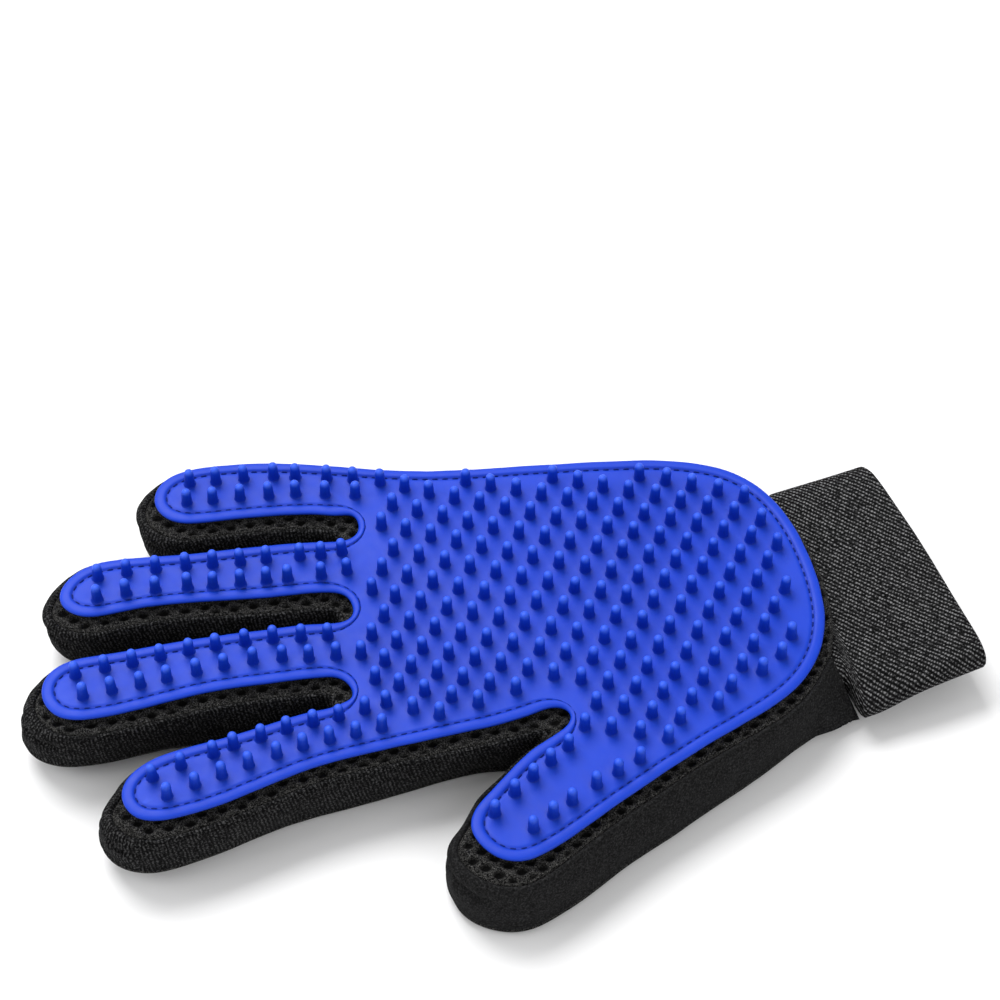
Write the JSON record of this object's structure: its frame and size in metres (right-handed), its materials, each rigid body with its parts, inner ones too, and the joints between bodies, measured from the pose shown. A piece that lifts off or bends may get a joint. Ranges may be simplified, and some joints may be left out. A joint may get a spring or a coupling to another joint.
{
  "type": "pet grooming glove",
  "caption": "Left-hand pet grooming glove, palm up: five-finger fabric glove with a bristled blue silicone palm pad, elastic cuff and hook and loop wrist strap.",
  "frame": {"origin": "under the middle of the glove's bounding box, on the plane the back of the glove rests on", "axes": "+X towards the cuff mouth, fingers along -X, thumb towards -Y, bristled palm facing +Z"},
  "size_m": [0.2294, 0.1381, 0.025],
  "materials": {
    "silicone": "satin moulded silicone, royal blue",
    "spacer_mesh": "black air-mesh fabric with oval holes",
    "knit": "black fine-ribbed stretch knit",
    "elastic": "charcoal woven elastic with fine dotted rows",
    "hook_tape": "black nylon hook tape",
    "loop_tape": "black brushed loop tape"
  },
  "bodies": {
    "palm": {"palm_pad": "silicone", "palm_mesh": "spacer_mesh", "palm_back": "spacer_mesh", "thumb_side_gusset": "knit", "little_side_gusset": "knit", "thumb_index_fourchette": "knit", "index_middle_fourchette": "knit", "middle_ring_fourchette": "knit", "ring_little_fourchette": "knit", "cuff_band": "elastic", "strap_anchor": "elastic", "loop_patch": "loop_tape"},
    "strap": {"strap_tab": "elastic", "hook_patch": "hook_tape"},
    "thumb_base": {"thumb_base_pad": "silicone", "thumb_base_mesh": "spacer_mesh", "thumb_base_back": "spacer_mesh", "thumb_base_gusset_a": "knit", "thumb_base_gusset_b": "knit"},
    "thumb_tip": {"thumb_tip_pad": "silicone", "thumb_tip_mesh": "spacer_mesh", "thumb_tip_back": "spacer_mesh", "thumb_tip_gusset": "knit"},
    "index_base": {"index_base_pad": "silicone", "index_base_mesh": "spacer_mesh", "index_base_back": "spacer_mesh", "index_base_gusset_a": "knit", "index_base_gusset_b": "knit"},
    "index_tip": {"index_tip_pad": "silicone", "index_tip_mesh": "spacer_mesh", "index_tip_back": "spacer_mesh", "index_tip_gusset": "knit"},
    "middle_base": {"middle_base_pad": "silicone", "middle_base_mesh": "spacer_mesh", "middle_base_back": "spacer_mesh", "middle_base_gusset_a": "knit", "middle_base_gusset_b": "knit"},
    "middle_tip": {"middle_tip_pad": "silicone", "middle_tip_mesh": "spacer_mesh", "middle_tip_back": "spacer_mesh", "middle_tip_gusset": "knit"},
    "ring_base": {"ring_base_pad": "silicone", "ring_base_mesh": "spacer_mesh", "ring_base_back": "spacer_mesh", "ring_base_gusset_a": "knit", "ring_base_gusset_b": "knit"},
    "ring_tip": {"ring_tip_pad": "silicone", "ring_tip_mesh": "spacer_mesh", "ring_tip_back": "spacer_mesh", "ring_tip_gusset": "knit"},
    "little_base": {"little_base_pad": "silicone", "little_base_mesh": "spacer_mesh", "little_base_back": "spacer_mesh", "little_base_gusset_a": "knit", "little_base_gusset_b": "knit"},
    "little_tip": {"little_tip_pad": "silicone", "little_tip_mesh": "spacer_mesh", "little_tip_back": "spacer_mesh", "little_tip_gusset": "knit"}
  },
  "joints": [
    {"name": "strap_peel", "type": "hinge", "parent": "palm", "child": "strap", "pos_m": [0.09, 0.0198, 0.00035], "axis": [1, 0, 0], "range_deg": [0, 150]},
    {"name": "thumb_knuckle", "type": "hinge", "parent": "palm", "child": "thumb_base", "pos_m": [0.0054, -0.0461, 0.0223], "axis": [-0.5196, 0.8544, 0], "range_deg": [0, 50]},
    {"name": "thumb_middle_joint", "type": "hinge", "parent": "thumb_base", "child": "thumb_tip", "pos_m": [-0.00742, -0.05389, 0.0223], "axis": [-0.5196, 0.8544, 0], "range_deg": [0, 60]},
    {"name": "index_knuckle", "type": "hinge", "parent": "palm", "child": "index_base", "pos_m": [-0.0505, -0.0201, 0.0223], "axis": [-0.147, 0.9891, 0], "range_deg": [0, 70]},
    {"name": "index_middle_joint", "type": "hinge", "parent": "index_base", "child": "index_tip", "pos_m": [-0.07424, -0.02363, 0.0223], "axis": [-0.147, 0.9891, 0], "range_deg": [0, 75]},
    {"name": "middle_knuckle", "type": "hinge", "parent": "palm", "child": "middle_base", "pos_m": [-0.05, 0.0056, 0.0223], "axis": [0.0085, 1, 0], "range_deg": [0, 70]},
    {"name": "middle_middle_joint", "type": "hinge", "parent": "middle_base", "child": "middle_tip", "pos_m": [-0.079, 0.00585, 0.0223], "axis": [0.0085, 1, 0], "range_deg": [0, 75]},
    {"name": "ring_knuckle", "type": "hinge", "parent": "palm", "child": "ring_base", "pos_m": [-0.0455, 0.0303, 0.0223], "axis": [0.087, 0.9962, 0], "range_deg": [0, 70]},
    {"name": "ring_middle_joint", "type": "hinge", "parent": "ring_base", "child": "ring_tip", "pos_m": [-0.07339, 0.03274, 0.0223], "axis": [0.087, 0.9962, 0], "range_deg": [0, 75]},
    {"name": "little_knuckle", "type": "hinge", "parent": "palm", "child": "little_base", "pos_m": [-0.039, 0.0545, 0.0223], "axis": [0.147, 0.9891, 0], "range_deg": [0, 70]},
    {"name": "little_middle_joint", "type": "hinge", "parent": "little_base", "child": "little_tip", "pos_m": [-0.05878, 0.05744, 0.0223], "axis": [0.147, 0.9891, 0], "range_deg": [0, 75]}
  ]
}
